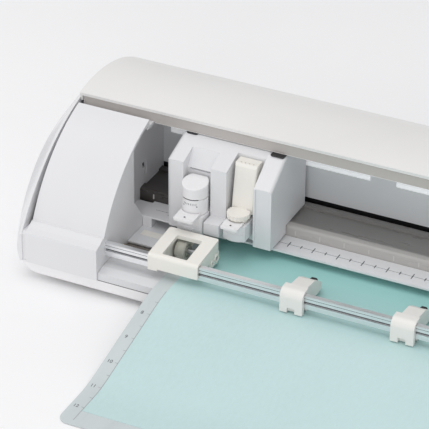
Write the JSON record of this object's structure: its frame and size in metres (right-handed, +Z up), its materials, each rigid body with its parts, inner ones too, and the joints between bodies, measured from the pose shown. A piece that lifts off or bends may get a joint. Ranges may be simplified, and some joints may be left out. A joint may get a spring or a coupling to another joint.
{
  "type": "die cutting machine",
  "caption": "Desktop die cutting machine with a turn-back lid, a two-tool carriage on a rail, a grit feed roller under sliding pinch frames, and a cutting mat carrying a sheet of card.",
  "frame": {"origin": "centre of the footprint of body and mat together, on the table", "axes": "+X to the right along the rail, +Y to the back of the machine, +Z up"},
  "size_m": [0.574, 0.3544, 0.1175],
  "materials": {
    "case_white": "fine satin moulded",
    "lid_white": "satin moulded, slightly warm",
    "dark_tray": "fine moulded",
    "inner_grey": "moulded, light grey",
    "bed_white": "satin moulded",
    "cream": "satin moulded",
    "black_plastic": "satin moulded",
    "tool_grey": "satin moulded",
    "glossy_black": "polished",
    "light_diffuser": "milky diffuser",
    "rail_metal": "bright anodised",
    "steel": "brushed",
    "grit_roller": "fine grit",
    "screw_steel": "zinc plated",
    "brass_bush": "sintered",
    "pinch_rubber": "ground rubber",
    "dark_rubber": "moulded rubber",
    "foot_rubber": "moulded rubber",
    "belt_rubber": "toothed belt rubber",
    "board_green": "lacquered circuit board",
    "mat_film": "tacky plastic film, pale grey",
    "card": "matt coloured card"
  },
  "bodies": {
    "case": {"base_tray": "dark_tray", "rubber_feet": "foot_rubber", "case_screws": "screw_steel", "left_front_cover": "case_white", "right_front_cover": "case_white", "left_end_cap": "case_white", "right_end_cap": "case_white", "top_cover": "case_white", "rear_cover": "case_white", "usb_socket": "steel", "power_inlet": "black_plastic", "touch_panel": "glossy_black", "left_inner_wall": "case_white", "right_inner_wall": "case_white", "roller_bushes": "brass_bush", "front_bed": "bed_white", "platen": "bed_white", "cutting_strip": "cream", "ruler_strip": "rail_metal", "carriage_rail": "rail_metal", "back_wall_panel": "inner_grey", "light_strip": "light_diffuser", "pinch_bar": "rail_metal", "feed_motor": "steel", "carriage_belt": "belt_rubber", "idler_bracket": "steel", "carriage_motor": "steel", "control_board": "board_green"},
    "lid": {"lid": "lid_white"},
    "power_button": {"power_button": "case_white"},
    "feed_roller": {"drive_roller": "grit_roller", "drive_gear": "black_plastic"},
    "feed_pinion": {"motor_pinion": "brass_bush"},
    "motor_pulley": {"motor_pulley": "tool_grey"},
    "idler_pulley": {"idler_pulley": "tool_grey"},
    "carriage": {"carriage_housing": "case_white", "carriage_side_panel": "case_white", "carriage_frame": "steel", "carriage_glides": "black_plastic"},
    "holder_1": {"tool_1_holder": "case_white"},
    "lock_1": {"tool_1_lock": "tool_grey"},
    "tool_1": {"tool_1_barrel": "tool_grey", "tool_1_cap": "cream", "tool_1_blade": "steel"},
    "holder_2": {"tool_2_holder": "case_white"},
    "lock_2": {"tool_2_lock": "tool_grey"},
    "tool_2": {"tool_2_module": "cream", "tool_2_ratchet": "tool_grey"},
    "left_pinch": {"left_pinch_frame": "cream", "left_pinch_axle": "steel"},
    "left_pinch_wheel": {"left_pinch_roller": "pinch_rubber"},
    "right_pinch": {"right_pinch_frame": "cream", "right_pinch_axle": "steel"},
    "right_pinch_wheel": {"right_pinch_roller": "pinch_rubber"},
    "clip_1": {"clip_1": "cream"},
    "clip_1_wheel": {"clip_1_roller": "dark_rubber"},
    "clip_2": {"clip_2": "cream"},
    "clip_2_wheel": {"clip_2_roller": "dark_rubber"},
    "mat": {"cutting_mat": "mat_film", "material_sheet": "card"}
  },
  "joints": [
    {"name": "lid_turn", "type": "hinge", "parent": "case", "child": "lid", "pos_m": [0, 0.09781, -0.01], "axis": [-1, 0, 0], "range_deg": [-47, 0]},
    {"name": "power_press", "type": "slide", "parent": "case", "child": "power_button", "axis": [0, 1, 0], "range_m": [0, 0.0015], "stiffness_N_per_m": 400},
    {"name": "mat_feed", "type": "slide", "parent": "case", "child": "mat", "axis": [0, -1, 0], "range_m": [0, 0.135]},
    {"name": "feed_roller_spin", "type": "hinge", "parent": "case", "child": "feed_roller", "pos_m": [0, 0.01782, 0.0148], "axis": [1, 0, 0], "range_deg": [-5, 971.9]},
    {"name": "feed_pinion_spin", "type": "hinge", "parent": "case", "child": "feed_pinion", "pos_m": [-0.246, 0.01782, 0.02715], "axis": [1, 0, 0], "range_deg": [-1624.83, 5]},
    {"name": "carriage_travel", "type": "slide", "parent": "case", "child": "carriage", "axis": [1, 0, 0], "range_m": [-0.022, 0.322]},
    {"name": "motor_pulley_spin", "type": "hinge", "parent": "case", "child": "motor_pulley", "pos_m": [0.25, 0.12481, 0.0365], "axis": [0, 0, 1], "range_deg": [-250, 3000]},
    {"name": "idler_pulley_spin", "type": "hinge", "parent": "case", "child": "idler_pulley", "pos_m": [-0.25, 0.12481, 0.0365], "axis": [0, 0, 1], "range_deg": [-250, 3000]},
    {"name": "holder_1_stroke", "type": "slide", "parent": "carriage", "child": "holder_1", "axis": [0, 0, 1], "range_m": [-0.004, 0], "stiffness_N_per_m": 400},
    {"name": "lock_1_pull", "type": "slide", "parent": "holder_1", "child": "lock_1", "axis": [0, -1, 0], "range_m": [0, 0.005]},
    {"name": "tool_1_lift", "type": "slide", "parent": "holder_1", "child": "tool_1", "axis": [0, 0, 1], "range_m": [0, 0.03]},
    {"name": "holder_2_stroke", "type": "slide", "parent": "carriage", "child": "holder_2", "axis": [0, 0, 1], "range_m": [-0.004, 0], "stiffness_N_per_m": 400},
    {"name": "lock_2_pull", "type": "slide", "parent": "holder_2", "child": "lock_2", "axis": [0, -1, 0], "range_m": [0, 0.005]},
    {"name": "tool_2_lift", "type": "slide", "parent": "holder_2", "child": "tool_2", "axis": [0, 0, 1], "range_m": [0, 0.03]},
    {"name": "left_pinch_slide", "type": "slide", "parent": "case", "child": "left_pinch", "axis": [1, 0, 0], "range_m": [-0.035, 0.03]},
    {"name": "left_pinch_spin", "type": "hinge", "parent": "left_pinch", "child": "left_pinch_wheel", "pos_m": [-0.168, 0.01782, 0.032], "axis": [1, 0, 0], "range_deg": [-1041.3, 5]},
    {"name": "right_pinch_slide", "type": "slide", "parent": "case", "child": "right_pinch", "axis": [1, 0, 0], "range_m": [-0.03, 0.035]},
    {"name": "right_pinch_spin", "type": "hinge", "parent": "right_pinch", "child": "right_pinch_wheel", "pos_m": [0.156, 0.01782, 0.032], "axis": [1, 0, 0], "range_deg": [-1041.3, 5]},
    {"name": "clip_1_slide", "type": "slide", "parent": "case", "child": "clip_1", "axis": [1, 0, 0], "range_m": [-0.03, 0.035]},
    {"name": "clip_1_spin", "type": "hinge", "parent": "clip_1", "child": "clip_1_wheel", "pos_m": [-0.062, 0.01782, 0.0305], "axis": [1, 0, 0], "range_deg": [-1299.2, 5]},
    {"name": "clip_2_slide", "type": "slide", "parent": "case", "child": "clip_2", "axis": [1, 0, 0], "range_m": [-0.03, 0.06]},
    {"name": "clip_2_spin", "type": "hinge", "parent": "clip_2", "child": "clip_2_wheel", "pos_m": [0.0246, 0.01782, 0.0305], "axis": [1, 0, 0], "range_deg": [-1299.2, 5]}
  ],
  "couplings": [
    {"joint": "feed_roller_spin", "follows": "mat_feed", "rad_per_m": 125},
    {"joint": "feed_pinion_spin", "follows": "mat_feed", "rad_per_m": -208.33},
    {"joint": "left_pinch_spin", "follows": "mat_feed", "rad_per_m": -133.33},
    {"joint": "right_pinch_spin", "follows": "mat_feed", "rad_per_m": -133.33},
    {"joint": "clip_1_spin", "follows": "mat_feed", "rad_per_m": -166.67},
    {"joint": "clip_2_spin", "follows": "mat_feed", "rad_per_m": -166.67},
    {"joint": "motor_pulley_spin", "follows": "carriage_travel", "rad_per_m": 151.52},
    {"joint": "idler_pulley_spin", "follows": "carriage_travel", "rad_per_m": 151.52}
  ]
}
